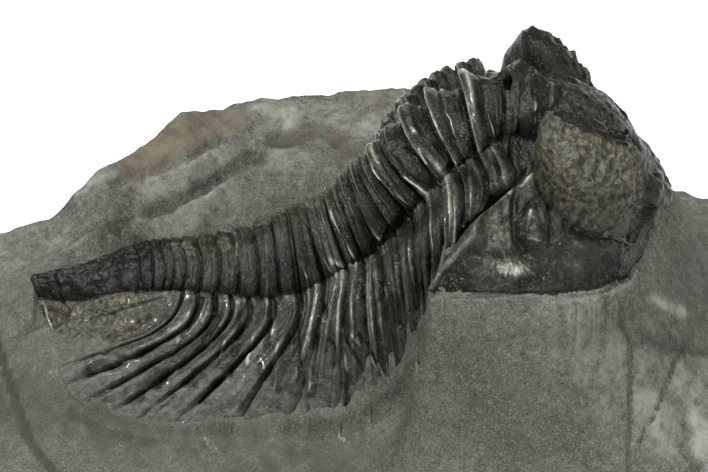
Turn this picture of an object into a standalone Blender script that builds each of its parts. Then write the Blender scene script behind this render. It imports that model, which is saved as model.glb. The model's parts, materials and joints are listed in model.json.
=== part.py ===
"""A spiny trilobite that lies arched over the limestone it was dug from.

The animal lies along X with its head at +X, its mid line in the plane Y = 0, and +Z up. The origin
is the middle of the block's sawn base. Its shell was thirteen plates in life: a head shield with two
tall eyes, eleven body segments and a tail shield. Each is a plate of its own here, and the limestone
that fills and carries them is the fourteenth piece.

The plates follow a few smooth lines that run from head to tail. On the body these are the crest, the
furrow beside the axis, the fulcrum where the side lobe turns down, and the rib tips. A station along
them counts body segments: 0 is behind the head, 11 is the front of the tail shield.
"""
import bpy
import bmesh
import math
import numpy as np
from mathutils import Vector
from mathutils.bvhtree import BVHTree

# Driving sizes, in millimetres
MM = 0.001
BASE_DEPTH = 24.0        # from the level of the tail's ridge down to the sawn base
SHELL = 1.1              # thickness of a plate
GAP = 0.3                # clearance between one piece and the next
SEGMENTS = 11
LAST_STATION = 27.0      # the tip of the tail
TAIL_RINGS = 16          # axial rings on the tail shield, counted in stations
BLOCK_LEFT = -33.0
BLOCK_RIGHT = 34.0
BLOCK_FRONT = -24.0

# Lines along the body: station, x, distance from the mid line, height over the tail's ridge
CREST = [
    (0, 10.3, 0, 12.3), (1, 7.6, 0, 11.3), (2, 5.2, 0, 9.9), (3, 3.3, 0, 9.0), (4, 1.9, 0, 7.4),
    (5.5, 0.8, 0, 5.8), (7, -0.3, 0, 4.8), (8, -1.1, 0, 4.0), (9, -2.0, 0, 2.9), (10, -3.5, 0, 2.4),
    (11, -4.6, 0, 1.8), (13, -7.0, 0, 0.5), (14.5, -9.0, 0, 0.0), (16, -10.8, 0, -0.1),
    (20, -14.6, 0, -0.1), (22, -16.4, 0, -0.3), (24, -18.5, 0, -1.0), (27, -23.2, 0, -1.8)]
FURROW = [
    (0, 9.7, 4.0, 9.3), (2, 6.8, 4.0, 7.4), (4, 4.6, 4.0, 5.1), (6, 2.5, 4.0, 2.4), (7, 1.3, 4.0, 1.1),
    (9, -0.9, 4.0, -0.2), (11, -4.3, 4.0, -2.1), (13, -7.6, 3.7, -2.5), (15, -10.9, 3.3, -2.1),
    (18, -14.2, 2.8, -2.0), (22, -17.8, 2.2, -2.5), (24, -19.5, 1.8, -3.1), (27, -22.7, 0.9, -3.3)]
FULCRUM = [
    (0, 10.0, 8.4, 9.4), (1, 8.2, 9.2, 8.4), (2, 6.5, 9.6, 7.5), (3, 5.1, 9.6, 6.3), (4, 4.1, 9.6, 5.1),
    (5, 3.2, 9.4, 3.6), (6, 2.3, 8.9, 1.9), (7, 1.1, 8.3, 0.4), (8, -0.1, 8.0, -0.6),
    (10, -3.2, 7.3, -2.6), (12, -6.8, 6.6, -3.9), (14, -10.5, 6.1, -4.0), (16, -14.1, 5.4, -3.9),
    (18, -16.6, 4.5, -3.8), (21, -19.0, 3.4, -3.9), (24, -20.8, 2.7, -4.1), (27, -22.4, 1.8, -4.2)]
TIP = [
    (0, 8.4, 10.6, 7.6), (1, 7.0, 10.8, 5.6), (2, 5.9, 10.9, 3.2), (3, 5.1, 11.1, 0.4),
    (4, 4.5, 11.6, -2.3), (5, 3.9, 12.0, -4.4), (6, 3.2, 11.8, -6.2), (7, 1.9, 11.5, -7.6),
    (8, 0.0, 11.2, -8.9), (9, -2.2, 11.1, -9.8), (10, -5.7, 11.0, -9.8), (11, -10.0, 11.0, -9.4),
    (12, -13.9, 11.0, -9.0), (13, -16.4, 10.7, -8.5), (14, -18.8, 10.1, -7.7), (15, -20.8, 9.0, -6.5),
    (16, -21.5, 7.6, -5.4), (18, -21.7, 5.8, -4.8), (21, -21.9, 4.6, -4.8), (24, -22.0, 3.6, -4.9),
    (27, -22.2, 2.6, -5.0)]
REACH_OF_TIP = 3.0
TUCK = 1.2               # how much reach the first rib loses where it tucks behind the head
TUCK_END = 4.0           # the station from which the ribs are whole

# Lines over the head, front to back: share of the way to the front, x, distance out, height
HEAD_CREST = [
    (0.0, 11.2, 0, 12.6), (0.08, 12.2, 0, 13.2), (0.2, 13.5, 0, 11.9), (0.35, 14.9, 0, 11.4),
    (0.5, 16.7, 0, 10.4), (0.65, 18.6, 0, 9.0), (0.8, 20.5, 0, 6.6), (0.9, 21.8, 0, 4.3), (1.0, 22.7, 0, 2.6)]
HEAD_FURROW = [
    (0.0, 10.6, 4.0, 9.7), (0.2, 12.4, 4.2, 9.2), (0.35, 14.0, 4.6, 8.7), (0.5, 15.8, 5.2, 7.9),
    (0.65, 17.6, 6.0, 6.7), (0.8, 19.4, 5.8, 4.9), (0.9, 20.9, 4.0, 3.4), (1.0, 22.4, 1.4, 2.4)]
HEAD_CHEEK = [
    (0.0, 10.3, 8.2, 8.3), (0.2, 11.8, 9.4, 7.4), (0.35, 13.2, 10.1, 6.0), (0.5, 15.2, 10.2, 5.0),
    (0.65, 17.2, 9.4, 4.5), (0.8, 19.0, 7.4, 3.8), (0.9, 20.4, 5.2, 3.0), (1.0, 21.9, 2.5, 2.3)]
HEAD_GROOVE = [
    (0.0, 6.6, 10.9, 6.4), (0.2, 8.5, 12.1, 5.1), (0.35, 11.2, 12.0, 4.2), (0.5, 14.0, 11.6, 3.8),
    (0.65, 16.9, 10.2, 3.2), (0.8, 19.0, 7.9, 2.8), (0.9, 20.2, 5.6, 2.6), (1.0, 21.5, 3.1, 2.2)]
HEAD_MARGIN = [
    (0.0, 3.7, 12.6, 2.7), (0.2, 7.2, 13.3, 2.8), (0.35, 10.8, 13.3, 2.6), (0.5, 13.7, 12.6, 2.2),
    (0.65, 16.9, 10.8, 1.5), (0.8, 19.0, 8.2, 1.3), (0.9, 20.2, 5.9, 1.6), (1.0, 21.2, 3.6, 2.0)]
HEAD_LINES = [HEAD_CREST, HEAD_FURROW, HEAD_CHEEK, HEAD_GROOVE, HEAD_MARGIN]

# An eye is a leaning tower: middle x, distance out, height, half length, half width. The far one
# has lost the corners of its top and ends in a peak.
EYE_RINGS = [
    (14.9, 7.2, 6.2, 3.7, 3.0), (15.4, 7.2, 8.4, 4.1, 3.3), (15.7, 6.9, 9.9, 3.9, 2.9),
    (15.9, 6.5, 10.9, 3.4, 2.1), (16.0, 6.2, 11.3, 2.6, 1.2)]
FAR_EYE_RINGS = [
    (14.9, 7.2, 6.2, 3.7, 3.0), (15.2, 7.2, 8.0, 3.6, 3.2), (15.1, 7.0, 9.8, 2.7, 2.8),
    (14.6, 6.7, 11.2, 1.8, 2.0), (14.1, 6.4, 12.1, 0.8, 1.1)]
EYE_LEAN = -0.5          # an eye's rings drop this much per millimetre towards the front
EYE_SIDES = 20

# The limestone: x, where its back edge lies, how high its back is, how high its front is
ROCK = [
    (-33, 9.0, -6.0, -9.5), (-25, 12.5, -5.2, -9.0), (-18, 15.5, -4.2, -9.8), (-9, 24.0, -3.0, -11.2),
    (0, 26.0, -2.2, -11.8), (9, 26.0, -2.6, -11.8), (18, 24.5, -6.5, -11.4), (26, 23.0, -9.8, -10.8),
    (34, 20.0, -10.6, -10.8)]
BACK_SLOPE_START = 3.0   # y where the ground starts to climb to its back edge
PEDESTAL_SPREAD = 4.2    # how fast the carved pedestal falls away from the fossil's edge
WALL_TAPER = 0.94        # the sawn base is this much smaller than the top
OPEN_SKY = 1000.0        # the height that stands for no shell above


def rail(points):
    """A smooth line through hand-placed points, each a station and then its values."""
    table = np.array(points, float)
    stations = table[:, 0]
    values = table[:, 1:]
    slopes = np.gradient(values, stations, axis=0)

    def at(station):
        station = np.clip(np.asarray(station, float), stations[0], stations[-1])
        i = np.clip(np.searchsorted(stations, station, side="right") - 1, 0, len(stations) - 2)
        step = (stations[i + 1] - stations[i])[..., None]
        f = (station - stations[i])[..., None] / step
        start = values[i] * (1 + 2 * f) * (1 - f) ** 2 + slopes[i] * step * f * (1 - f) ** 2
        end = values[i + 1] * f ** 2 * (3 - 2 * f) - slopes[i + 1] * step * f ** 2 * (1 - f)
        return start + end
    return at


def smoothstep(low, high, value):
    """0 below low, 1 above high, and a smooth change between."""
    f = np.clip((value - low) / (high - low), 0, 1)
    return f * f * (3 - 2 * f)


crest = rail(CREST)
furrow = rail(FURROW)
fulcrum = rail(FULCRUM)
tip = rail(TIP)
head_lines = [rail(line) for line in HEAD_LINES]
rock = rail(ROCK)


def curve(start, start_slope, end, end_slope, f):
    """A point on the smooth arc between two points with given slopes."""
    return (start * (1 + 2 * f) * (1 - f) ** 2 + start_slope * f * (1 - f) ** 2
            + end * f ** 2 * (3 - 2 * f) - end_slope * f ** 2 * (1 - f))


def arch(top, low, out):
    """A quarter of an ellipse from the crest, where out is 0, down to the furrow, where it is 1."""
    turn = np.clip(out, 0, 1) * math.pi / 2
    return top + (low - top) * ((0, 1, 0) * np.sin(turn) + (1, 0, 1) * (1 - np.cos(turn)))


def body_surface(station, reach):
    """The smooth back. Reach is 0 on the crest, 1 in the furrow, 2 on the fulcrum, 3 at a tip."""
    side = np.sign(reach)
    out = np.abs(reach)[..., None]
    top, low, turn, end = crest(station), furrow(station), fulcrum(station), tip(station)
    width = (low - top) * (0, 1, 0)
    level = width * np.linalg.norm(turn - low, axis=-1)[..., None] / np.maximum(width[..., 1:2], 0.5)
    across = (end - low) / 2
    inner = curve(low, level, turn, across, np.clip(out - 1, 0, 1))
    outer = curve(turn, across, end, end - turn, np.clip(out - 2, 0, 1))
    point = np.where(out < 1, arch(top, low, out), np.where(out < 2, inner, outer))
    point[..., 1] *= side
    return point


def head_surface(share, reach):
    """The head without its eyes. Reach is 0 on the crest and 4 at the margin."""
    side = np.sign(reach)
    out = np.abs(reach)
    knots = [line(share) for line in head_lines]
    knots = [knots[1] * (1, -1, 1)] + knots + [2 * knots[-1] - knots[-2]]
    i = np.clip(out.astype(int), 0, 3)
    f = (out - i)[..., None]
    stack = np.stack(knots)
    rows = np.arange(len(out))
    before, start, end, after = (stack[i + k, rows] for k in range(4))
    outer = curve(start, (end - before) / 2, end, (after - start) / 2, f)
    point = np.where(out[..., None] < 1, arch(knots[1], knots[2], out[..., None]), outer)
    point[..., 1] *= side
    return point


def normals(surface, along, reach):
    """The outward direction of a surface, from two small steps over it."""
    step = 0.02
    ahead = surface(along + step, reach) - surface(along - step, reach)
    sideways = surface(along, reach + step) - surface(along, reach - step)
    forward = ahead * (1 if surface is head_surface else -1)
    direction = np.cross(forward, sideways)
    return direction / np.maximum(np.linalg.norm(direction, axis=-1), 1e-9)[..., None]


def material(name, colour, roughness):
    """A plain surface colour for one kind of stone."""
    finish = bpy.data.materials.new(name)
    finish.use_nodes = True
    shader = finish.node_tree.nodes["Principled BSDF"]
    shader.inputs["Base Color"].default_value = (*colour, 1)
    shader.inputs["Roughness"].default_value = roughness
    shader.inputs["Metallic"].default_value = 0
    return finish


def add_object(name, shape, finish):
    """Put a finished bmesh into the scene as one smooth named object."""
    mesh = bpy.data.meshes.new(name)
    shape.to_mesh(mesh)
    shape.free()
    mesh.materials.append(finish)
    mesh.shade_smooth()
    piece = bpy.data.objects.new(name, mesh)
    bpy.context.collection.objects.link(piece)
    return piece


def plate(rows, columns, place, mirrored=True):
    """A flat plate of squares, bent into place. It has a lower and an upper skin.

    The place function takes two arrays from -1 to 1 and a mask of the upper skin, and gives points.
    A body plate is mirrored, because its stations run backwards along X.
    """
    shape = bmesh.new()
    bmesh.ops.create_grid(shape, x_segments=rows, y_segments=columns, size=1)
    upper = bmesh.ops.extrude_face_region(shape, geom=shape.faces[:], use_keep_orig=True)
    bmesh.ops.translate(
        shape, vec=(0, 0, 1), verts=[v for v in upper["geom"] if isinstance(v, bmesh.types.BMVert)])
    bmesh.ops.recalc_face_normals(shape, faces=shape.faces[:])
    if mirrored:
        bmesh.ops.reverse_faces(shape, faces=shape.faces[:])
    flat = np.array([v.co for v in shape.verts])
    bent = place(flat[:, 0], flat[:, 1], flat[:, 2] > 0.5)
    for vertex, point in zip(shape.verts, bent):
        vertex.co = Vector(point) * MM
    return shape


def lift(points):
    """Heights are measured from the tail's ridge; the model stands on its sawn base."""
    return points + np.array([0, 0, BASE_DEPTH])


def skins(surface, along, reach, upper, relief, thickness):
    """Upper points carry the relief, lower points lie one shell thickness inside."""
    offset = np.where(upper, relief, -thickness)[:, None]
    return lift(surface(along, reach) + normals(surface, along, reach) * offset)


def ring_height(station):
    """How far a ring's rear edge stands up at the crest. The rings behind the head are boldest."""
    return 0.4 + 1.0 * (1 - smoothstep(1.2, 4.0, station)) - 0.2 * smoothstep(16, 22, station)


def segment(index, finish):
    """One body segment: an arched ring over the axis and a rib down each side."""
    clear = 0.14

    def place(u, v, upper):
        whole = REACH_OF_TIP - TUCK * (1 - smoothstep(-1, TUCK_END, index + 0.5))
        reach = whole * v
        narrow = 1 - 0.5 * smoothstep(0.7, 1.0, np.abs(v))
        station = index + 0.5 + u * (0.5 - clear) * narrow
        share = (u + 1) / 2
        rise = np.sin(math.pi * share ** 1.7)
        height = np.where(np.abs(reach) < 1, ring_height(index + 0.5), 0.45)
        thickness = SHELL * (1 - 0.5 * smoothstep(2.0, 3.0, np.abs(reach)))
        return skins(body_surface, station, reach, upper, rise * height, thickness)
    return add_object(f"thorax_segment_{index + 1:02d}", plate(4, 12, place), finish)


def tail_shield(finish):
    """The tail shield: many small rings on the axis and five swept ribs each side, all fused."""
    ribs = 5

    def place(u, v, upper):
        station = SEGMENTS + 0.12 + (u + 1) / 2 * (LAST_STATION - SEGMENTS - 0.12)
        rib = np.cos((station - SEGMENTS - 0.5) * 2 * math.pi)
        ribbed = station < SEGMENTS + ribs
        notch = np.where(ribbed, 0.12 * (1 - rib), 0.1)
        reach = v * (REACH_OF_TIP - notch)
        relief = np.where(ribbed & (np.abs(reach) > 1), 0.2 + 0.2 * rib, 0.15)
        thickness = SHELL * (1 - 0.4 * smoothstep(2.0, 3.0, np.abs(reach)))
        thickness = thickness * (1 - 0.7 * smoothstep(16, 26, station))
        return skins(body_surface, station, reach, upper, relief, thickness)
    return add_object("pygidium", plate(TAIL_RINGS + 2, 16, place), finish)


def eye_tower(side, rings):
    """One tall eye, a closed tower of leaning rings. The head is joined to it."""
    shape = bmesh.new()
    ring = bmesh.ops.create_circle(shape, segments=EYE_SIDES, radius=1)["verts"]
    edges = list({edge for vertex in ring for edge in vertex.link_edges})
    bottom = bmesh.ops.edgeloop_fill(shape, edges=edges)["faces"]
    bmesh.ops.reverse_faces(shape, faces=bottom)
    loops = [ring]
    for _ in rings[1:]:
        wall = bmesh.ops.extrude_edge_only(shape, edges=edges)["geom"]
        ring = [v for v in wall if isinstance(v, bmesh.types.BMVert)]
        edges = [e for e in wall if isinstance(e, bmesh.types.BMEdge) and all(v in ring for v in e.verts)]
        loops.append(ring)
    bmesh.ops.edgeloop_fill(shape, edges=edges)
    for loop, (x, out, height, half_length, half_width) in zip(loops, rings):
        for vertex in loop:
            along = vertex.co.x * half_length
            outward = out + vertex.co.y * half_width
            vertex.co = Vector((x + along, side * outward, height + EYE_LEAN * along + BASE_DEPTH)) * MM
    bmesh.ops.recalc_face_normals(shape, faces=shape.faces[:])
    return shape


def head_shield(finish):
    """The head shield: a tall helmet with a furrowed middle lobe, two eyes and a flat border."""
    def place(u, v, upper):
        share = (u + 1) / 2
        reach = 4 * v
        out = np.abs(reach)
        thickness = SHELL * (1 - 0.2 * smoothstep(2.5, 4.0, out))
        relief = np.where(out < 1, 0.15 * np.cos(share * 6 * math.pi), 0)
        return skins(head_surface, share, reach, upper, relief * (out < 1), thickness)
    head = add_object("cephalon", plate(14, 20, place, mirrored=False), finish)
    for side, label, rings in ((-1, "near", EYE_RINGS), (1, "far", FAR_EYE_RINGS)):
        eye = add_object(f"eye_{label}_guide", eye_tower(side, rings), finish)
        eye.hide_render = True
        eye.hide_viewport = True
        eye.display_type = "WIRE"
        join = head.modifiers.new(f"{label} eye", "BOOLEAN")
        join.operation = "UNION"
        join.object = eye
        join.solver = "EXACT"
    return head


def fossil_edge():
    """Points along the fossil's outer edge: the head's front and sides, then the body's rib tips."""
    stations = np.linspace(3.5, LAST_STATION, 140)
    front = head_surface(np.ones(30), np.linspace(0, 4, 30))
    sides = head_lines[-1](np.linspace(1, 0, 60))
    near = np.concatenate([front, sides, tip(stations)])
    return np.concatenate([near, near * (1, -1, 1)])


def ground(x, y):
    """The limestone's own top, without the pedestal that is carved round the fossil."""
    values = rock(x)
    back_edge, back, front = values[..., 0], values[..., 1], values[..., 2]
    climb = smoothstep(0, 1, (y - BACK_SLOPE_START) / (back_edge - BACK_SLOPE_START))
    fall = 0.06 * np.minimum(y + 8, 0)
    return front + (back - front) * climb + fall


def terrain(x, y, edge):
    """The ground with its pedestal: the nearest edge of the fossil lifts it, steeply under the head."""
    apart = (edge[:, 0] - x[:, None]) ** 2 + (edge[:, 1] - y[:, None]) ** 2
    weight = 1 / (apart + 0.6) ** 4
    rim = np.sum(edge[:, 2] * weight, axis=1) / np.sum(weight, axis=1)
    distance = np.sqrt(np.min(apart, axis=1))
    level = ground(x, y)
    share = np.exp(-(distance / PEDESTAL_SPREAD) ** 1.6)
    return level + (rim - 0.3 - level) * share


def ceilings(plates, x, y, reach):
    """The lowest shell surface over each point and its neighbours, and how much of them it covers."""
    depsgraph = bpy.context.evaluated_depsgraph_get()
    trees = [BVHTree.FromObject(piece, depsgraph) for piece in plates]
    low = np.full(len(x), OPEN_SKY)
    cover = np.zeros(len(x))
    turns = [k * math.pi / 4 for k in range(8)]
    offsets = [(0, 0)] + [(r * math.cos(a), r * math.sin(a)) for r in (0.5, 1.0) for a in turns]
    for i in range(len(x)):
        for step_x, step_y in offsets:
            start = Vector((x[i] + step_x * reach[i], y[i] + step_y * reach[i], 0)) * MM
            hits = [tree.ray_cast(start, Vector((0, 0, 1)))[0] for tree in trees]
            heights = [hit.z / MM for hit in hits if hit is not None]
            if heights:
                low[i] = min(low[i], *heights)
                cover[i] += 1 / len(offsets)
    return low, cover


def block_point(u, v):
    """Where a grid point of the top lies: columns crowd together under the fossil."""
    middle = (BLOCK_LEFT + BLOCK_RIGHT) / 2
    x = middle + (BLOCK_RIGHT - BLOCK_LEFT) / 2 * (0.72 * u + 0.28 * u ** 3)
    back_edge = rock(x)[..., 0]
    front_edge = BLOCK_FRONT + 1.2 * np.sin(x * 0.21) + 0.02 * np.abs(x)
    share = (0.62 * v + 0.38 * v ** 3 + 1) / 2
    y = front_edge + (back_edge - front_edge) * share
    x = x + u ** 8 * (1.3 * np.sin(y * 0.23 + 1.0) - 0.5)
    return x, y


def limestone(plates, finish):
    """The block: a rough top with a carved pedestal, leaning sides and a flat sawn base."""
    shape = bmesh.new()
    bmesh.ops.create_grid(shape, x_segments=44, y_segments=33, size=1)
    flat = np.array([v.co for v in shape.verts])
    x, y = block_point(flat[:, 0], flat[:, 1])
    top = terrain(x, y, fossil_edge()) + BASE_DEPTH
    spacing = np.where((np.abs(x) < 26) & (np.abs(y) < 15), 1.25, 0.2)
    roof, cover = ceilings(plates, x, y, spacing)
    top = np.where(cover > 0.55, roof - GAP - 0.1, np.minimum(top, roof - GAP - 0.1))
    for vertex, point in zip(shape.verts, zip(x, y, top)):
        vertex.co = Vector(point) * MM
    edges = [edge for edge in shape.edges if edge.is_boundary]
    for share in (0.5, 1.0):
        wall = bmesh.ops.extrude_edge_only(shape, edges=edges)["geom"]
        ring = {v for v in wall if isinstance(v, bmesh.types.BMVert)}
        edges = [e for e in wall if isinstance(e, bmesh.types.BMEdge) and set(e.verts) <= ring]
        for vertex in ring:
            shrink = 1 - (1 - WALL_TAPER) * share
            height = vertex.co.z * (0.5 if share < 1 else 0)
            vertex.co = Vector((vertex.co.x * shrink, vertex.co.y * shrink, height))
    bmesh.ops.edgeloop_fill(shape, edges=edges)
    bmesh.ops.triangulate(shape, faces=[face for face in shape.faces if len(face.verts) > 4])
    bmesh.ops.recalc_face_normals(shape, faces=shape.faces[:])
    return add_object("matrix", shape, finish)


def build():
    """Clear the scene and make the fourteen pieces."""
    for old in list(bpy.data.objects):
        bpy.data.objects.remove(old, do_unlink=True)
    shell = material("fossil_shell", (0.030, 0.029, 0.026), 0.32)
    stone = material("limestone", (0.165, 0.165, 0.150), 0.85)
    plates = [head_shield(shell)]
    plates += [segment(index, shell) for index in range(SEGMENTS)]
    plates.append(tail_shield(shell))
    limestone(plates, stone)


build()
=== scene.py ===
import itertools
import math
import bpy
import bmesh
import numpy as np
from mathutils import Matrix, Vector
from mathutils.bvhtree import BVHTree
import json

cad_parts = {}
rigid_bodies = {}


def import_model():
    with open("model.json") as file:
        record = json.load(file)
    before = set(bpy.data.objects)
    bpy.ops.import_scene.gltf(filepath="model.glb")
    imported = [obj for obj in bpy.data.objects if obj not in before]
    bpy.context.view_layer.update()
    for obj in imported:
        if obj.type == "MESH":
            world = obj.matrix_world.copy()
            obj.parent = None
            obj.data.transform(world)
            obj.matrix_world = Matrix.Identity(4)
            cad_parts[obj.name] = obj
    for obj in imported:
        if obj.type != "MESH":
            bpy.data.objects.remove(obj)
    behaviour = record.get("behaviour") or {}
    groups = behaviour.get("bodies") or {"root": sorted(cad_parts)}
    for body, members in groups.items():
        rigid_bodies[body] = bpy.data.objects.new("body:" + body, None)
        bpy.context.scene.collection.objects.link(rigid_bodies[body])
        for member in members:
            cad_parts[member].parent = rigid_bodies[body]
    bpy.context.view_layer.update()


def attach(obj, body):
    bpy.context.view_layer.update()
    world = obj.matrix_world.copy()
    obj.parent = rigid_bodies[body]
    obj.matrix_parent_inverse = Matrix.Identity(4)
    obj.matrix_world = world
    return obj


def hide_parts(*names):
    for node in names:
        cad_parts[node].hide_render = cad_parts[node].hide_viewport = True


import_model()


# The view. The camera looks down on the animal's left side from far off, through a long lens. It comes
# first, because some grooves and cracks below are drawn by their pixel places on the photograph.
MM = 0.001
BASE_DEPTH = 24.0        # height of the tail's ridge over the sawn base; heights below count from it
VIEW_UP = math.radians(30)
VIEW_TURN = math.radians(-6)
CAMERA_AWAY = 281.0
LENS = 200.0
SENSOR = 36.0
PHOTO_SIZE = (708, 472)

towards_camera = np.array([math.sin(VIEW_TURN) * math.cos(VIEW_UP),
                           -math.cos(VIEW_TURN) * math.cos(VIEW_UP), math.sin(VIEW_UP)])
view_right = np.array([math.cos(VIEW_TURN), math.sin(VIEW_TURN), 0])
view_up = np.cross(towards_camera, view_right)

camera = bpy.data.objects.new("camera", bpy.data.cameras.new("camera"))
camera.data.lens = LENS
camera.data.sensor_width = SENSOR
camera.data.clip_start = 0.01
camera.data.clip_end = 20
camera.location = Vector(towards_camera * CAMERA_AWAY + (0, 0, BASE_DEPTH)) * MM
camera.rotation_euler = Vector(towards_camera).to_track_quat("Z", "Y").to_euler()
bpy.context.collection.objects.link(camera)
bpy.context.scene.camera = camera


def on_photo(points):
    """Where points of the model, in millimetres over the tail's ridge, lie on the photograph."""
    from_camera = points - towards_camera * CAMERA_AWAY
    scale = PHOTO_SIZE[0] * LENS / SENSOR / -(from_camera @ towards_camera)
    return np.stack([PHOTO_SIZE[0] / 2 + scale * (from_camera @ view_right),
                     PHOTO_SIZE[1] / 2 - scale * (from_camera @ view_up)], axis=1)


# The body. Eleven plates of dark calcite, each an arched ring over the axis with a rib down each side.
# They lie along four lines that run from head to tail; a station on them counts segments, and a reach
# across them is 0 on the crest, 1 in the furrow, 2 on the fulcrum and 3 at a rib's tip.
SEGMENTS = 11
TAIL_END = 27.0
SHELL = 1.0
CREST = [
    (0, 10.3, 0, 12.3), (1, 7.6, 0, 11.3), (2, 5.2, 0, 9.9), (3, 3.3, 0, 9.0), (4, 1.9, 0, 7.4),
    (5.5, 0.8, 0, 5.8), (7, -0.3, 0, 4.8), (8, -1.1, 0, 4.0), (9, -2.0, 0, 2.9), (10, -3.5, 0, 2.4),
    (11, -4.6, 0, 1.8), (13, -7.0, 0, 0.5), (14.5, -9.0, 0, 0.0), (16, -10.8, 0, -0.1),
    (20, -14.6, 0, -0.1), (22, -16.4, 0, -0.3), (24, -18.5, 0, -1.0), (27, -23.2, 0, -1.8)]
FURROW = [
    (0, 9.7, 4.0, 9.3), (2, 6.8, 4.0, 7.4), (4, 4.6, 4.0, 5.1), (6, 2.5, 4.0, 2.4), (7, 1.3, 4.0, 1.1),
    (9, -0.9, 4.0, -0.2), (11, -4.3, 4.0, -2.1), (13, -7.6, 3.7, -2.5), (15, -10.9, 3.3, -2.1),
    (18, -14.2, 2.8, -2.0), (22, -17.8, 2.2, -2.5), (24, -19.5, 1.8, -3.1), (27, -22.7, 0.9, -3.3)]
FULCRUM = [
    (0, 10.0, 8.4, 9.4), (1, 8.2, 9.2, 8.4), (2, 6.5, 9.6, 7.5), (3, 5.1, 9.6, 6.3), (4, 4.1, 9.6, 5.1),
    (5, 3.2, 9.4, 3.6), (6, 2.3, 8.9, 1.9), (7, 1.1, 8.3, 0.4), (8, -0.1, 8.0, -0.6),
    (10, -3.2, 7.3, -2.6), (12, -6.8, 6.6, -3.9), (14, -10.5, 6.1, -4.0), (16, -14.1, 5.4, -3.9),
    (18, -16.6, 4.5, -3.8), (21, -19.0, 3.4, -3.9), (24, -20.8, 2.7, -4.1), (27, -22.4, 1.8, -4.2)]
TIP = [
    (0, 8.4, 10.6, 7.6), (1, 7.0, 10.8, 5.6), (2, 5.9, 10.9, 3.2), (3, 5.1, 11.1, 0.4),
    (4, 4.5, 11.6, -2.3), (5, 3.9, 12.0, -4.4), (6, 3.2, 11.8, -6.2), (7, 1.9, 11.5, -7.6),
    (8, 0.0, 11.2, -8.9), (9, -2.2, 11.1, -9.8), (10, -5.7, 11.0, -9.8), (11, -10.0, 11.0, -9.4),
    (12, -13.9, 11.0, -9.0), (13, -16.4, 10.7, -8.5), (14, -18.8, 10.1, -7.7), (15, -20.8, 9.0, -6.5),
    (16, -21.5, 7.6, -5.4), (18, -21.7, 5.8, -4.8), (21, -21.9, 4.6, -4.8), (24, -22.0, 3.6, -4.9),
    (27, -22.2, 2.6, -5.0)]
TUCK = 1.2               # how much reach the first rib loses where it tucks behind the head
TUCK_END = 4.0
RING_ROWS = 44
RING_COLUMNS = 250
UNDERSIDE_ROWS = 3
SMALL_STEP = 0.02        # of station and of reach, to find which way a surface faces
SEAM = 1e-7              # vertices closer than this, in metres, are sewn together


def rail(points):
    """A smooth line through given points, each a station and then its values."""
    table = np.array(points, float)
    stations = table[:, 0]
    values = table[:, 1:]
    slopes = np.gradient(values, stations, axis=0)

    def at(station):
        station = np.clip(np.asarray(station, float), stations[0], stations[-1])
        i = np.clip(np.searchsorted(stations, station, side="right") - 1, 0, len(stations) - 2)
        step = (stations[i + 1] - stations[i])[..., None]
        f = (station - stations[i])[..., None] / step
        return hermite(values[i], slopes[i] * step, values[i + 1], slopes[i + 1] * step, f)
    return at


def hermite(start, start_slope, end, end_slope, f):
    """A point on the smooth arc between two points with given slopes."""
    return (start * (1 + 2 * f) * (1 - f) ** 2 + start_slope * f * (1 - f) ** 2
            + end * f ** 2 * (3 - 2 * f) - end_slope * f ** 2 * (1 - f))


def ramp(low, high, value):
    """0 below low, 1 above high, and a smooth change between."""
    f = np.clip((value - low) / (high - low), 0, 1)
    return f * f * (3 - 2 * f)


def hump(middle, half_width, value):
    """1 at the middle, falling smoothly to nearly 0 at twice the half width."""
    return np.exp(-((value - middle) / half_width) ** 2)


def mottle(points, size, seed=0, layers=1):
    """Smooth random values from -1 to 1, in patches about size across. Each seed is a new pattern."""
    total = np.zeros(len(points))
    for layer in range(layers):
        place = points * (2 ** layer / size) + 17.3 * (seed + layer + 1)
        cell = np.floor(place).astype(np.int64)
        f = place - cell
        f = f * f * (3 - 2 * f)
        for corner in itertools.product((0, 1), repeat=3):
            spot = cell + corner
            n = spot[:, 0] * 73856093 ^ spot[:, 1] * 19349663 ^ spot[:, 2] * 83492791
            n = (n * (n * n * 15731 + 789221) + 1376312589) & 0x7fffffff
            weight = np.prod(np.where(corner, f, 1 - f), axis=1)
            total += weight * (1 - n / 2 ** 30) / 2 ** layer
    return total


def arch(top, low, out):
    """A quarter of an ellipse from the crest, where out is 0, down to the furrow, where it is 1."""
    turn = np.clip(out, 0, 1) * math.pi / 2
    return top + (low - top) * ((0, 1, 0) * np.sin(turn) + (1, 0, 1) * (1 - np.cos(turn)))


crest, furrow, fulcrum, tip = rail(CREST), rail(FURROW), rail(FULCRUM), rail(TIP)


def back_surface(station, reach):
    """The smooth back of body and tail, without rings or ribs."""
    side = np.sign(reach)
    out = np.abs(reach)[..., None]
    top, low, turn, end = crest(station), furrow(station), fulcrum(station), tip(station)
    width = (low - top) * (0, 1, 0)
    level = width * np.linalg.norm(turn - low, axis=-1)[..., None] / np.maximum(width[..., 1:2], 0.5)
    across = (end - low) / 2
    inner = hermite(low, level, turn, across, np.clip(out - 1, 0, 1))
    outer = hermite(turn, across, end, end - turn, np.clip(out - 2, 0, 1))
    point = np.where(out < 1, arch(top, low, out), np.where(out < 2, inner, outer))
    point[..., 1] *= side
    return point


def outward(surface, along, reach, forward_sign):
    """The outward direction of a surface, from small steps along it and across it."""
    forward = (surface(along + SMALL_STEP, reach) - surface(along - SMALL_STEP, reach)) * forward_sign
    sideways = surface(along, reach + SMALL_STEP) - surface(along, reach - SMALL_STEP)
    direction = np.cross(forward, sideways)
    return direction / np.maximum(np.linalg.norm(direction, axis=-1), 1e-9)[..., None]


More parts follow.
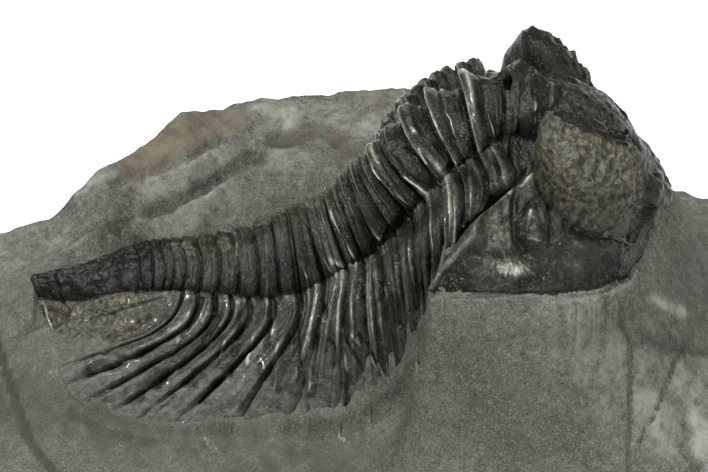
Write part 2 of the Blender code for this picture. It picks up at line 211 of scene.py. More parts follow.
def flat_band(rows_over, rows_under, columns):
    """A flat grid to be bent into a closed band: over the top, and back underneath.

    It also gives each vertex's share of the way from the band's front to its rear edge, its place
    across from -1 to 1, and whether it is on the underside.
    """
    shape = bmesh.new()
    rows = rows_over + rows_under + 2
    bmesh.ops.create_grid(shape, x_segments=rows, y_segments=columns, size=1)
    flat = np.array([v.co for v in shape.verts], float)
    row = np.round((flat[:, 0] + 1) / 2 * rows)
    under = (row > rows_over) & (row < rows)
    share = np.where(under, 1 - (row - rows_over - 1) / rows_under, row / rows_over)
    share = np.where(row == rows, 0, share)
    return shape, share, flat[:, 1], under


def bend(shape, points, shades):
    """Move a flat shape's vertices to their points, and write the finish's values on them."""
    layers = {key: shape.verts.layers.float.new(key) for key in shades}
    for vertex, point in zip(shape.verts, (points + (0, 0, BASE_DEPTH)) * MM):
        vertex.co = point
    for key, values in shades.items():
        for vertex, value in zip(shape.verts, values):
            vertex[layers[key]] = value
    return layers


def closed_band(name, shape, points, shades, finish):
    """Bend a flat band to its points, sew up its seam and its ends, and make it a finished object."""
    bend(shape, points, shades)
    bmesh.ops.remove_doubles(shape, verts=shape.verts[:], dist=SEAM)
    bmesh.ops.holes_fill(shape, edges=[edge for edge in shape.edges if edge.is_boundary], sides=0)
    return finished_object(name, shape, finish)


def finished_object(name, shape, finish):
    """Turn all faces of a closed shape outwards, and make it an object with its material."""
    bmesh.ops.triangulate(shape, faces=[face for face in shape.faces if len(face.verts) > 4])
    bmesh.ops.recalc_face_normals(shape, faces=shape.faces[:])
    mesh = bpy.data.meshes.new(name)
    shape.to_mesh(mesh)
    shape.free()
    mesh.materials.append(finish)
    mesh.shade_smooth()
    piece = bpy.data.objects.new(name, mesh)
    bpy.context.collection.objects.link(piece)
    return piece


class Socket:
    """A value on its way through a material. Arithmetic on it adds the nodes that do it."""

    def __init__(self, tree, socket):
        self.tree = tree
        self.socket = socket

    def add(self, kind, inputs=(), output=0, **settings):
        """A node of any type, with its settings made first and then its sockets filled."""
        node = self.tree.nodes.new(kind)
        for name, value in settings.items():
            setattr(node, name, value)
        for key, value in dict(inputs).items():
            if isinstance(value, Socket):
                self.tree.links.new(value.socket, node.inputs[key])
            else:
                node.inputs[key].default_value = value
        return Socket(self.tree, node.outputs[output])

    def math(self, operation, *values):
        return self.add("ShaderNodeMath", enumerate(values), operation=operation)

    def __add__(self, other):
        return self.math("ADD", self, other)

    def __sub__(self, other):
        return self.math("SUBTRACT", self, other)

    def __rsub__(self, other):
        return self.math("SUBTRACT", other, self)

    def __mul__(self, other):
        return self.math("MULTIPLY", self, other)

    __radd__ = __add__
    __rmul__ = __mul__

    def span(self, low, high):
        """0 where this value is at low, 1 at high, a smooth change between, and held beyond."""
        inputs = {0: self, 1: low, 2: high}
        return self.add("ShaderNodeMapRange", inputs, interpolation_type="SMOOTHSTEP")

    def noise(self, size, detail=2.0, roughness=0.5):
        """Random patches of about this size in millimetres, on the object's own coordinates."""
        inputs = {"Vector": self, "Scale": 1 / (size * MM), "Detail": detail, "Roughness": roughness}
        return self.add("ShaderNodeTexNoise", inputs)

    def grains(self, size):
        """Distance to scattered points of about this spacing in millimetres."""
        return self.add("ShaderNodeTexVoronoi", {"Vector": self, "Scale": 1 / (size * MM)})

    def mix(self, first, second):
        """Two colours mixed by this value."""
        return self.add("ShaderNodeMix", {0: self, 6: first, 7: second}, output=2, data_type="RGBA")


def colour(red, green, blue):
    """A solid colour in linear light."""
    return (red, green, blue, 1.0)


def new_finish(name):
    """An empty material: its shader, the object coordinates, and a reader of the mesh's own values."""
    finish = bpy.data.materials.new(name)
    finish.use_nodes = True
    shader = finish.node_tree.nodes["Principled BSDF"]
    start = Socket(finish.node_tree, None)
    place = start.add("ShaderNodeTexCoord", output="Object")

    def value(key):
        return start.add("ShaderNodeAttribute", output="Fac", attribute_name=key)

    def connect(name, socket):
        finish.node_tree.links.new(socket.socket, shader.inputs[name])
    return finish, shader, place, value, connect


# The shell's finish: near-black glossy calcite with pale flecks, some of them painted glints. Its raised
# places are grey and pale, partly from wear and partly as painted highlight, and its grooves are black
# with painted shade. Olive grit with yellow spots still clings to the eyes, the furrows and the crest, and
# the rib ends fade into the colour of the limestone.
CALCITE_BLACK = colour(0.005, 0.0048, 0.0034)
CALCITE_DARK = colour(0.018, 0.0176, 0.013)
WEAR_AND_HIGHLIGHT_GREY = colour(0.070, 0.071, 0.054)
WEAR_AND_HIGHLIGHT_PALE = colour(0.29, 0.29, 0.24)
FLECK_AND_GLINT_GREY = colour(0.18, 0.18, 0.15)
GRIT_DARK = colour(0.017, 0.017, 0.011)
GRIT_OLIVE = colour(0.090, 0.089, 0.065)
GRIT_YELLOW = colour(0.115, 0.098, 0.050)
STONY_DARK = colour(0.048, 0.049, 0.040)
STONY_GREY = colour(0.088, 0.089, 0.075)
PAINTED_GROOVE_SHADE = colour(0.005, 0.0045, 0.004)
SHELL_BUMP = 0.0002      # metres
SHELL_GLOSS = 0.2
COAT_ROUGHNESS = 0.14

shell, shader, place, value, connect = new_finish("fossil_shell")
worn, deep, film, stony = value("worn"), value("deep"), value("film"), value("stone")
patches = place.noise(2.2, 4.0, 0.6)
fine = place.noise(0.4, 4.0, 0.65)
crystals = place.grains(0.25)
dark = patches.span(0.3, 0.7).mix(CALCITE_BLACK, CALCITE_DARK)
# Painted highlight mixed with real wear: raised places and bright marks go grey, then pale.
body = (worn * 1.1 + fine * 0.5 + patches * 0.3 - 0.3).span(0.2, 1.0).mix(dark, WEAR_AND_HIGHLIGHT_GREY)
body = (worn * 1.2 + fine * 0.6 - 0.3).span(0.6, 1.15).mix(body, WEAR_AND_HIGHLIGHT_PALE)
# Pale flecks: calcite specks, partly painted glints.
flecks_and_glints = (place.noise(0.11, 1.0, 0.6) + place.noise(1.5, 2.0, 0.6) * 0.5).span(0.97, 1.08)
body = flecks_and_glints.mix(body, FLECK_AND_GLINT_GREY)
grit = place.noise(0.45, 4.0, 0.7).span(0.36, 0.68).mix(GRIT_DARK, GRIT_OLIVE)
spots = (place.noise(0.4, 1.0, 0.5) + place.noise(2.5, 1.0, 0.5) * 0.5).span(0.88, 0.98)
grit = spots.mix(grit, GRIT_YELLOW)
body = (film * 1.4 + fine * 0.8 - 0.75).span(0.15, 0.6).mix(body, grit)
stony_ends = fine.span(0.35, 0.7).mix(STONY_DARK, STONY_GREY)
body = (stony * 1.5 + fine * 0.7 - 0.6).span(0.1, 0.9).mix(body, stony_ends)
# Painted shade: low places and dark marks go black.
body = deep.mix(body, PAINTED_GROOVE_SHADE)
connect("Base Color", body)
connect("Roughness", 0.10 + fine * 0.14 + film * 0.3 + stony * 0.5)
bumps = fine * 0.6 + crystals * 0.12 + place.noise(0.16, 2.0, 0.6) * 0.4
normal = place.add("ShaderNodeBump", {"Height": bumps, "Distance": SHELL_BUMP, "Strength": 1.0})
connect("Normal", normal)
shader.inputs["Specular IOR Level"].default_value = SHELL_GLOSS
connect("Coat Weight", (worn + fine * 0.5).span(0.5, 1.1) * (1.0 - stony) * (1.0 - film))
shader.inputs["Coat Roughness"].default_value = COAT_ROUGHNESS

# Marks on body and tail, read off the photograph. Each has its half width in pixels, the millimetres that
# it rises or sinks, how much lighter or darker it is painted, and its line in pixels. Most lighter ones
# are painted glints and lit rims, and most darker ones are painted shadow in grooves and gaps.
MARK_DRIFT = 1.3         # pixels that a mark may wander
BODY_MARKS = [
    (2.5, -0.35, -0.5, [(501, 80), (505, 105), (513, 137)]),
    (1.5, -0.20, -0.4, [(481, 80), (484, 105), (490, 142)]),
    (4.0, -0.15, -0.4, [(494, 85), (495, 110), (500, 130)]),
    (1.3, 0.20, 0.6, [(487, 112), (491, 126), (495, 140)]),
    (1.5, -0.30, -0.5, [(441, 95), (447, 120), (456, 148), (466, 168)]),
    (4.0, -0.20, -0.4, [(456, 102), (460, 116)]),
    (1.0, 0.20, 0.4, [(433, 92), (431, 104), (426, 113)]),
    (3.0, 0.20, 0.2, [(432, 105), (438, 125), (445, 140)]),
    (1.2, 0.15, 0.4, [(443, 97), (449, 118), (456, 138)]),
    (2.0, -0.30, -0.5, [(404, 145), (420, 160), (432, 175), (440, 184)]),
    (4.0, -0.25, -0.6, [(418, 142), (430, 146)]),
    (2.0, -0.25, -0.5, [(398, 160), (404, 172), (428, 186)]),
    (2.5, 0.15, 0.4, [(410, 122), (416, 134)]),
    (1.5, 0.20, 0.4, [(421, 116), (427, 133), (432, 141)]),
    (2.0, 0.20, 0.6, [(430, 144), (446, 162)]),
    (1.2, 0.20, 0.7, [(421, 151), (428, 164)]),
    (2.0, 0.20, 0.5, [(405, 174), (416, 184), (426, 190)]),
    (1.5, -0.20, -0.4, [(381, 165), (390, 178), (408, 202)]),
    (0.9, 0.12, 0.5, [(375, 169), (392, 189), (408, 203)]),
    (0.9, 0.15, 0.6, [(352, 188), (359, 206), (367, 221), (379, 239)]),
    (0.9, 0.12, 0.5, [(370, 196), (382, 212), (393, 226)]),
    (1.2, 0.20, 0.5, [(380, 238), (388, 224)]),
    (0.9, 0.12, 0.5, [(333, 212), (342, 234), (353, 256)]),
    (1.1, 0.12, 0.5, [(347, 217), (353, 233), (358, 243)]),
    (0.9, 0.12, 0.5, [(304, 215), (311, 238), (326, 262), (332, 272)]),
    (0.9, 0.12, 0.4, [(290, 238), (297, 258), (309, 277)]),
    (8.0, -0.30, -0.6, [(402, 222), (412, 232)]),
    (5.0, -0.20, -0.5, [(310, 262), (318, 268)]),
    (3.0, 0.30, 0.35, [(334, 262), (350, 266)]),
    (3.5, 0.25, 0.30, [(440, 165), (455, 160)]),
    (4.0, 0.25, 0.25, [(415, 195), (432, 192)]),
    (1.4, 0.30, 0.8, [(236, 246), (239, 258), (240, 272)]),
    (1.0, 0.15, 0.5, [(262, 250), (263, 278)]),
    (1.2, 0.15, 0.5, [(270, 252), (275, 268)]),
    (1.0, 0.15, 0.4, [(280, 262), (285, 297)]),
    (1.0, 0.10, 0.5, [(136, 262), (140, 278)]),
    (1.0, 0.10, 0.5, [(148, 260), (153, 280)]),
    (1.0, 0.10, 0.5, [(164, 260), (167, 278)]),
    (2.2, 0.20, 0.6, [(311, 340), (309, 360), (308, 390)]),
    (2.2, 0.20, 0.5, [(343, 330), (345, 350), (347, 370)]),
    (1.5, 0.20, 0.5, [(253, 340), (249, 360), (245, 380), (235, 395)]),
    (1.3, 0.20, 0.7, [(225, 342), (219, 358)]),
    (1.8, 0.10, 0.4, [(276, 318), (273, 335)]),
    (1.5, 0.15, 0.4, [(263, 362), (264, 392)]),
    (2.0, 0.15, 0.3, [(278, 345), (273, 395)]),
    (2.5, 0.10, 0.6, [(385, 290), (386, 308)]),
    (1.3, -0.30, -0.6, [(360, 334), (372, 354), (385, 380), (397, 398)]),
    (1.2, 0.20, 0.4, [(352, 334), (370, 354), (382, 378), (393, 398)]),
    (1.3, -0.25, -0.5, [(346, 340), (360, 368), (378, 390)]),
    (5.0, -0.10, -0.7, [(303, 398), (309, 414)]),
    (7.0, -0.10, -0.7, [(345, 385), (347, 425)]),
    (7.0, -0.10, -0.8, [(408, 365), (412, 388)]),
    (9.0, -0.10, -0.7, [(38, 282), (47, 300), (58, 322)]),
    (1.5, -0.25, -0.5, [(55, 275), (60, 296), (69, 312), (66, 326)]),
    (1.5, -0.15, -0.3, [(180, 290), (150, 302), (118, 312), (90, 320)]),
    (2.0, -0.20, -0.4, [(150, 318), (128, 330), (106, 337)]),
    (1.4, -0.12, -0.3, [(145, 290), (118, 298), (98, 301)]),
    (3.0, -0.30, -0.5, [(152, 349), (142, 356), (120, 358), (104, 352)]),
    (4.5, -0.40, -0.6, [(120, 366), (100, 368), (80, 377)]),
    (4.0, -0.40, -0.6, [(170, 372), (158, 383), (144, 391)]),
    (3.5, 0.25, 0.3, [(118, 353), (97, 361), (74, 373)]),
    (4.0, 0.25, 0.3, [(150, 374), (125, 390), (84, 402)]),
    (4.0, 0.20, 0.2, [(185, 387), (160, 404), (122, 421)]),
    (2.5, -0.25, -0.4, [(188, 383), (177, 396), (160, 409)]),
    (1.5, 0.12, 0.6, [(181, 341), (172, 353), (164, 365)]),
    (2.5, -0.30, -0.5, [(202, 302), (190, 322), (182, 342), (168, 362)]),
    (3.0, -0.30, -0.5, [(217, 320), (205, 345), (192, 358), (180, 366)]),
    (3.0, -0.30, -0.5, [(246, 306), (240, 330), (234, 356), (228, 378)]),
    (3.0, -0.30, -0.4, [(222, 375), (208, 392), (200, 400)]),
    (2.5, -0.30, -0.5, [(272, 304), (270, 328), (268, 346)]),
    (2.5, -0.30, -0.5, [(300, 302), (297, 330), (299, 356), (305, 388)]),
    (2.2, -0.25, -0.5, [(322, 300), (327, 318)]),
    (2.2, -0.25, -0.5, [(330, 340), (336, 352), (337, 368)]),
    (2.2, -0.25, -0.5, [(381, 258), (381, 300)]),
    (2.5, -0.25, -0.5, [(399, 300), (401, 325), (412, 336)]),
    (2.2, -0.25, -0.4, [(418, 288), (420, 318)]),
    (1.2, 0.10, 1.7, [(33, 277), (42, 300), (52, 330)]),
    (2.6, 0.10, 2.2, [(46, 296), (47, 299)])]


def near_side(points):
    """The points mirrored to the side that the photograph shows, so that both sides get its marks."""
    return np.stack([points[:, 0], -np.abs(points[:, 1]), points[:, 2]], axis=1)


def drawn(points, marks):
    """The rise and the shade that marks give to points."""
    drift = np.stack([mottle(points, 0.9, 61, 2), mottle(points, 0.9, 67, 2)], axis=1)
    spot = on_photo(points) + MARK_DRIFT * drift
    strength = 0.8 + 0.35 * mottle(points, 0.6, 71)
    rise, shade = np.zeros(len(points)), np.zeros(len(points))
    for half_width, height, tone, line in marks:
        apart = np.full(len(points), 1e6)
        for start, end in zip(np.array(line[:-1], float), np.array(line[1:], float)):
            along = end - start
            f = np.clip((spot - start) @ along / (along @ along), 0, 1)
            apart = np.minimum(apart, np.hypot(*(spot - start - f[:, None] * along).T))
        profile = np.exp(-(apart / half_width) ** 2) * strength
        rise += height * profile
        shade += tone * profile
    return rise, shade


# Heights and depths of the relief in millimetres. The first rings stand up more and are scooped in front.
RING_STEP = 0.26
FIRST_RINGS_EXTRA = 0.6
LAST_RINGS_LESS = 0.06
RING_GROOVE = 0.32
RING_KNOB = 0.2
RING_SCOOP = 0.35
RING_DROP = 0.3
RIB_BAND = 0.48
RIB_SINK = 0.3
RIB_SPLIT = 0.2
TAIL_RIB_SPLIT = 0.08
GAP_SINK = 0.15


def ring_height(station):
    """How far a ring's rear edge stands up at the crest. The rings behind the head are boldest."""
    extra = FIRST_RINGS_EXTRA * (1 - ramp(1.2, 4.0, station))
    return RING_STEP + extra - LAST_RINGS_LESS * ramp(16, 22, station)


def ring_relief(share, station, out):
    """One ring over the axis: it rises slowly from a groove to a sharp rim, and drops at the rear."""
    bold = 1 - ramp(2.5, 5.0, station)
    rise = ramp(0.08 + 0.3 * bold, 0.8, share) * (1 - ramp(0.9, 1.0, share))
    knob = hump(0.86, 0.12, out) * hump(0.6, 0.25, share)
    lines = 0.10 * hump(0.3, 0.05, share) + 0.07 * hump(0.55, 0.04, share) + 0.10 * hump(0.86, 0.03, share)
    height = ring_height(station) * (1 - 0.45 * ramp(0.2, 0.9, out))
    return (rise * height - RING_GROOVE * hump(0.02, 0.07, share) + lines * (1 - bold) + RING_KNOB * knob
            - RING_SCOOP * bold * hump(0.22, 0.2, share) - RING_DROP * ramp(0.92, 1.0, share))


def rib_relief(share, out, split_depth):
    """One rib: a flat-topped band split lengthwise by a thin furrow, with grooves on either side."""
    band = ramp(0.0, 0.2, share) * (1 - ramp(0.84, 1.0, share))
    split = hump(0.40 + 0.12 * (out - 1), 0.06, share) * ramp(1.05, 1.4, out) * (1 - ramp(2.3, 2.7, out))
    return RIB_BAND * band - split_depth * split - RIB_SINK


def between_ribs(share, out):
    """How far the gap between two ribs' ends is still filled with limestone."""
    gap = 1 - ramp(0.05, 0.3, share) * (1 - ramp(0.75, 0.98, share))
    return gap * ramp(2.05, 2.5, out)


def folds(along, reach):
    """Random fine folds that run from the crest out to the ribs' tips."""
    return mottle(np.stack([along, reach * 0.9, np.zeros(len(reach))], axis=1), 1.0, 5, 2)


def clinging_grit(base, station, out):
    """Dull grit in the furrows, in scattered patches, and along the crest apart from the first rings."""
    in_furrow = 0.6 * hump(1.05, 0.15, out) * ramp(0.0, 0.8, mottle(base, 1.2, 9, 3))
    scattered = 0.25 * ramp(0.0, 0.8, mottle(base, 1.2, 15))
    return in_furrow + scattered + 0.4 * ramp(2, 4, station) * (1 - ramp(0.15, 0.45, out))


def dark_flank(station, out):
    """How much darker the sides of the axis are made, apart from the first rings."""
    return 0.22 * ramp(2, 4, station) * ramp(0.2, 0.5, out) * (1 - ramp(0.9, 1.1, out))


def shell_shades(relief, tone, film, stone):
    """The finish's values: wear with painted highlight, painted shade in low places, grit and stone."""
    return {"worn": np.clip(0.12 + 0.8 * relief + tone, 0, 1.4),
            "deep": np.clip(-1.6 * relief - 0.2 - 1.1 * np.minimum(tone, 0), 0, 0.92) * (1 - stone),
            "film": np.clip(film, 0, 1), "stone": np.clip(stone, 0, 1)}


for index in range(SEGMENTS):
    shape, share, across, under = flat_band(RING_ROWS, UNDERSIDE_ROWS, RING_COLUMNS)
    whole = 3.0 - TUCK * (1 - ramp(-1, TUCK_END, index + 0.5))
    reach = whole * across
    out = np.abs(reach)
    station = index + share * (1 - 0.08 * ramp(0.97, 1.0, np.abs(across)))
    wander = np.stack([share * 2 + index * 5.0, reach * 1.5, np.zeros(len(share))], axis=1)
    station = station + 0.06 * mottle(wander, 1.0, 3) * (share * (1 - share) * 4)
    base = back_surface(station, reach)
    normal = outward(back_surface, station, reach, -1)
    axial = 1 - ramp(0.92, 1.12, out)
    filled = between_ribs(share, out)
    streak = folds(share * 7 + index * 11.0, reach)
    rise, tone = drawn(near_side(base), BODY_MARKS)
    # How far each point stands out of the smooth back: rings and ribs, random folds, and then the marks.
    relief = ring_relief(share, station, out) * axial
    relief = relief + rib_relief(share, out, RIB_SPLIT) * (1 - axial) - GAP_SINK * filled
    relief = relief + 0.08 * streak + 0.05 * mottle(base, 0.5, 7, 2) + 0.09 * mottle(base, 1.4, 11, 2)
    edge = ramp(0.0, 0.03, 1 - np.abs(across))
    fade = ramp(2.45, 2.95, out + 0.25 * mottle(base, 2.0, 13, 2) + 0.15 * mottle(base, 0.6, 14))
    fade = fade * ramp(2.5, 5.0, station)
    thick = SHELL * (1 - 0.4 * ramp(2.0, 3.0, out))
    flat_margin = 1 - 0.8 * ramp(2.7, 2.98, out) * ramp(4.0, 6.0, station)
    offset = np.where(under, -thick, (relief + rise) * edge * flat_margin)
    points = base + normal * offset[:, None]
    # What the finish reads: wear with painted highlight on raised places and streaks, painted shade in low
    # places, grit, and the limestone between the rib ends.
    tone = 1.3 * tone + (0.35 + 0.15 * axial) * streak - 0.2 * axial + 0.05 - dark_flank(station, out)
    rocky = filled * 0.9 + fade + 0.8 * np.minimum(tone, 0) * fade
    shades = shell_shades(relief, tone, clinging_grit(base, station, out), rocky)
    name = f"thorax_segment_{index + 1:02d}"
    piece = closed_band(name + "_shell", shape, points, shades, shell)
    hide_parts(name)
    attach(piece, "root")


# The tail shield: the last rings and ribs fused in one plate of the same calcite. Many small rings cross
# its axis, six ribs and a faint seventh sweep back on each side, and behind them the plate is smooth to
# its broken tip.
TAIL_GROOVES = (11, 12.2, 13.2, 13.9, 14.6, 15.4, 16.3, 17.3)
RINGS_ON_CREST = (11, 11.9, 13.0, 14.05, 15.1, 16.25, 17.5, 18.4, 19.1, 19.9, 21.0, 22.2, 23.4)
RINGS_IN_FURROW = (11, 11.75, 12.6, 13.5, 14.35, 15.15, 16.3, 17.1, 17.7, 18.2, 19.4, 20.7, 21.9)
TAIL_ROWS = 300
TAIL_COLUMNS = 290
TAIL_UNDERSIDE_ROWS = 4

shape, share, across, under = flat_band(TAIL_ROWS, TAIL_UNDERSIDE_ROWS, TAIL_COLUMNS)
station = SEGMENTS + share * (TAIL_END - SEGMENTS)
reach = 3.0 * across
out = np.abs(reach)
base = back_surface(station, reach)
normal = outward(back_surface, station, reach, -1)
axial = 1 - ramp(0.92, 1.1, out)
counts = np.arange(len(RINGS_ON_CREST))
rings = np.interp(station, RINGS_ON_CREST, counts)
rings = rings + (np.interp(station, RINGS_IN_FURROW, counts) - rings) * np.clip(out, 0, 1)
ring_share = np.where(rings < 0.05, 0.2, (rings - 0.15) % 1.0)
ribs = np.interp(station, TAIL_GROOVES, np.arange(len(TAIL_GROOVES)))
rib_share = ribs % 1.0
ringed = 1 - ramp(20.0, 22.0, station + out)
ribbed = 1 - ramp(16.0, 17.2, station)
streak = folds(station * 5, reach)
rise, tone = drawn(near_side(base), BODY_MARKS)
ring = ring_relief(ring_share, station, out) * ringed * (0.9 - 0.35 * ramp(12, 18, station))
rib = rib_relief(rib_share, out, TAIL_RIB_SPLIT) * ribbed * (0.85 + 0.4 * mottle(base, 1.6, 27, 2))
relief = ring * axial + 1.25 * rib * (1 - axial) + 0.05 * streak * ribbed
relief = relief + 0.06 * mottle(base, 0.8, 7, 3)
relief = relief + axial * ramp(18, 21, station) * (0.2 * mottle(base, 1.0, 17, 3) - 0.1)
ragged = out + 0.35 * mottle(base, 2.0, 13, 2) + 0.2 * mottle(base, 0.6, 14) + 0.4 * rib
fade = 0.85 * ramp(2.3, 2.95, ragged)
flat_margin = 1 - 0.7 * ramp(2.65, 2.97, out)
thick = SHELL * (1 - 0.4 * ramp(2.0, 3.0, out)) * (1 - 0.7 * ramp(16, 26, station))
edge = ramp(0.0, 0.02, 1 - np.abs(across))
points = base + normal * np.where(under, -thick, (relief + rise) * edge * flat_margin)[:, None]
grit = clinging_grit(base, station, out) + 0.5 * (1 - ribbed) * (1 - axial)
# Painted highlight along the fold streaks, as on the body.
tone = tone + 0.25 * streak * ribbed - 0.1 * axial - dark_flank(station, out)
tone = tone - 0.6 * axial * ramp(18, 20.5, station)
tone = tone + 0.25 * (1 - ribbed) * (1 - axial) * (1 - ramp(24.5, 26, station))
tone = tone + (0.1 - 0.35 * ramp(0.1, 0.9, mottle(base, 1.8, 29, 3))) * ribbed * (1 - axial)
shades = shell_shades(relief, tone, grit, fade + 0.6 * np.minimum(tone, 0) * fade)
piece = closed_band("pygidium_shell", shape, points, shades, shell)
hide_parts("pygidium")
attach(piece, "root")


# The head shield: one helmet of calcite with a swollen middle lobe, a tower of an eye on each side and a
# flat border. Share runs along it from back to front, and reach from the crest at 0 to the margin at 4.
HEAD_CREST = [
    (0.0, 11.2, 0, 12.1), (0.08, 12.3, 0, 12.9), (0.2, 13.5, 0, 11.9), (0.35, 14.9, 0, 11.4),
    (0.5, 16.7, 0, 10.4), (0.65, 18.6, 0, 9.0), (0.8, 20.5, 0, 6.6), (0.9, 21.8, 0, 4.3),
    (1.0, 22.7, 0, 2.6)]
HEAD_FURROW = [
    (0.0, 10.6, 4.0, 9.7), (0.2, 12.4, 4.2, 9.2), (0.35, 14.0, 4.6, 8.7), (0.5, 15.8, 5.2, 7.9),
    (0.65, 17.6, 6.0, 6.7), (0.8, 19.4, 5.8, 4.9), (0.9, 20.9, 4.0, 3.4), (1.0, 22.4, 1.4, 2.4)]
HEAD_CHEEK = [
    (0.0, 10.3, 8.2, 8.3), (0.2, 11.8, 9.4, 7.4), (0.35, 13.2, 10.1, 6.0), (0.5, 15.2, 10.2, 5.0),
    (0.65, 17.2, 9.4, 4.5), (0.8, 19.0, 7.4, 3.8), (0.9, 20.4, 5.2, 3.0), (1.0, 21.9, 2.5, 2.3)]
HEAD_GROOVE = [
    (0.0, 6.6, 10.9, 6.4), (0.2, 8.5, 12.1, 5.1), (0.35, 11.2, 12.0, 4.2), (0.5, 14.0, 11.6, 3.8),
    (0.65, 16.9, 10.2, 3.2), (0.8, 19.0, 7.9, 2.8), (0.9, 20.2, 5.6, 2.6), (1.0, 21.5, 3.1, 2.2)]
HEAD_MARGIN = [
    (0.0, 3.7, 12.6, 2.7), (0.2, 7.2, 13.3, 2.8), (0.35, 10.8, 13.3, 2.6), (0.5, 13.7, 12.6, 2.2),
    (0.65, 16.9, 10.8, 1.5), (0.8, 19.0, 8.2, 1.3), (0.9, 20.2, 5.9, 1.6), (1.0, 21.2, 3.6, 2.0)]
# An eye's outlines from its foot to its top: each one's centre in plan and height, and half its length
# and its width.
EYE_RINGS = [
    (15.1, 7.2, 6.2, 3.5, 3.0), (15.6, 7.2, 8.4, 3.8, 3.3), (15.8, 6.9, 9.9, 3.7, 2.9),
    (15.9, 6.5, 10.9, 3.4, 2.1), (16.0, 6.2, 11.3, 2.6, 1.2)]
FAR_EYE_RINGS = [
    (14.9, 7.2, 6.2, 3.7, 3.0), (15.2, 7.2, 8.0, 3.6, 3.2), (15.1, 7.0, 9.8, 2.7, 2.8),
    (14.6, 6.7, 11.2, 1.8, 2.0), (14.1, 6.4, 12.1, 0.8, 1.1)]
EYE_LEAN = -0.5
EYE_RIM = 0.35           # share of an eye's plan that is its flat top
EYE_DISH = 0.25          # how far that top is dished
EYE_FOOT_GROOVE = 0.25
OUTSIDE_EYE = 9.0        # stands for any place outside an eye's plan, which ends at 1
HEAD_ROWS = 290
HEAD_COLUMNS = 310
HEAD_UNDERSIDE_ROWS = 4
# Marks on the head, as on the body: their tone paints glints, glossy sheen and shadow as well as the
# shell's own colour, and the broad ones at the end paint lighter patches. After them come the places where
# olive grit still clings.
HEAD_MARKS = [
    (2.2, 0.10, 0.25, [(530, 66), (548, 81), (570, 87), (585, 93), (597, 103)]),
    (5.0, 0.10, 0.15, [(511, 80), (512, 125)]),
    (1.0, -0.15, -0.4, [(518, 76), (519, 135)]),
    (5.0, -0.30, -0.5, [(536, 76), (537, 92)]),
    (1.5, 0.10, 0.9, [(535, 104), (535, 111)]),
    (1.3, 0.10, 0.7, [(535, 119), (535, 124)]),
    (2.0, 0.10, 0.35, [(552, 85), (551, 107)]),
    (5.0, -0.40, -0.5, [(564, 92), (560, 104), (552, 112)]),
    (1.1, -0.22, -0.6, [(576, 113), (590, 126), (604, 136), (615, 144), (640, 149)]),
    (1.0, -0.12, -0.4, [(580, 108), (597, 126), (606, 134)]),
    (4.0, 0.15, 0.12, [(578, 104), (598, 116)]),
    (1.1, -0.20, -0.5, [(598, 105), (602, 115), (606, 125), (612, 133), (626, 132)]),
    (3.0, -0.40, -0.5, [(630, 139), (635, 144)]),
    (3.4, -0.45, -0.9, [(553, 203), (563, 214), (575, 223), (590, 231), (605, 234), (617, 229)]),
    (1.5, 0.00, 0.9, [(567, 207), (569, 212)]),
    (1.6, 0.20, 0.3, [(545, 188), (553, 204), (563, 219), (570, 227)]),
    (9.0, 0.00, 0.3, [(535, 178), (525, 190)]),
    (1.4, -0.20, -0.3, [(541, 194), (530, 203), (520, 215)]),
    (9.0, 0.60, 0.30, [(534, 216), (536, 238)]),
    (1.4, 0.12, 0.5, [(529, 211), (526, 230)]),
    (1.4, 0.12, 0.5, [(538, 208), (541, 222)]),
    (1.4, 0.12, 0.4, [(527, 238), (540, 242)]),
    (3.8, -0.45, -0.4, [(528, 172), (517, 186), (514, 203), (514, 235), (524, 253)]),
    (2.4, -0.40, -0.5, [(549, 200), (551, 222), (550, 245)]),
    (3.0, 0.25, 0.15, [(557, 208), (559, 224)]),
    (4.0, 0.30, 0.20, [(508, 200), (508, 248)]),
    (9.0, -0.35, 0.00, [(491, 212), (493, 240)]),
    (1.0, 0.10, 0.5, [(617, 226), (622, 235), (632, 243), (638, 244)]),
    (0.9, 0.10, 0.4, [(625, 238), (634, 246)]),
    (9.0, -0.70, 0.00, [(648, 168), (642, 195), (636, 215), (628, 236)]),
    (1.8, -0.30, -0.7, [(644, 165), (643, 195)]),
    (5.0, 0.35, 0.10, [(652, 150), (659, 172), (656, 195)]),
    (7.0, 0.40, -0.1, [(667, 187), (660, 208), (650, 224)]),
    (0.9, 0.15, 0.2, [(484, 260), (482, 274)]),
    (1.1, 0.20, 0.25, [(490, 250), (494, 262), (491, 270)]),
    (0.9, 0.15, 0.2, [(498, 262), (499, 280)]),
    (1.2, 0.20, 0.25, [(503, 252), (507, 266), (505, 276)]),
    (0.9, 0.15, 0.3, [(510, 262), (516, 281)]),
    (1.2, 0.20, 0.2, [(517, 256), (523, 270), (530, 280)]),
    (1.2, 0.12, 0.3, [(520, 262), (540, 280)]),
    (1.0, 0.10, 0.25, [(530, 258), (556, 268)]),
    (3.4, 0.40, 0.80,
     [(531, 176), (504, 199), (484, 211), (472, 236), (459, 251), (437, 277), (431, 288)]),
    (3.0, -0.30, -0.6, [(472, 250), (478, 254)]),
    (10.0, 0.00, 0.65, [(490, 266), (522, 270)]),
    (15.0, 0.00, 0.15, [(535, 50), (570, 70), (600, 110)]),
    (9.0, 0.00, 0.2, [(565, 262), (600, 266)]),
    (5.0, 0.00, 0.25, [(575, 245), (610, 250)]),
    (12.0, 0.00, 0.15, [(494, 205), (494, 240)])]
HEAD_GRIT = [
    (12.0, 0, 0.9, [(492, 208), (496, 236)]),
    (4.0, 0, 0.7, [(508, 200), (508, 250)]),
    (8.0, 0, 0.8, [(650, 160), (644, 195), (634, 232)]),
    (6.0, 0, 0.8, [(668, 188), (652, 222)]),
    (3.0, 0, 0.8, [(504, 199), (484, 211), (472, 236), (459, 251), (437, 277), (431, 288)]),
    (6.0, 0, 0.7, [(480, 294), (550, 294)])]
head_lines = [rail(line) for line in (HEAD_CREST, HEAD_FURROW, HEAD_CHEEK, HEAD_GROOVE, HEAD_MARGIN)]


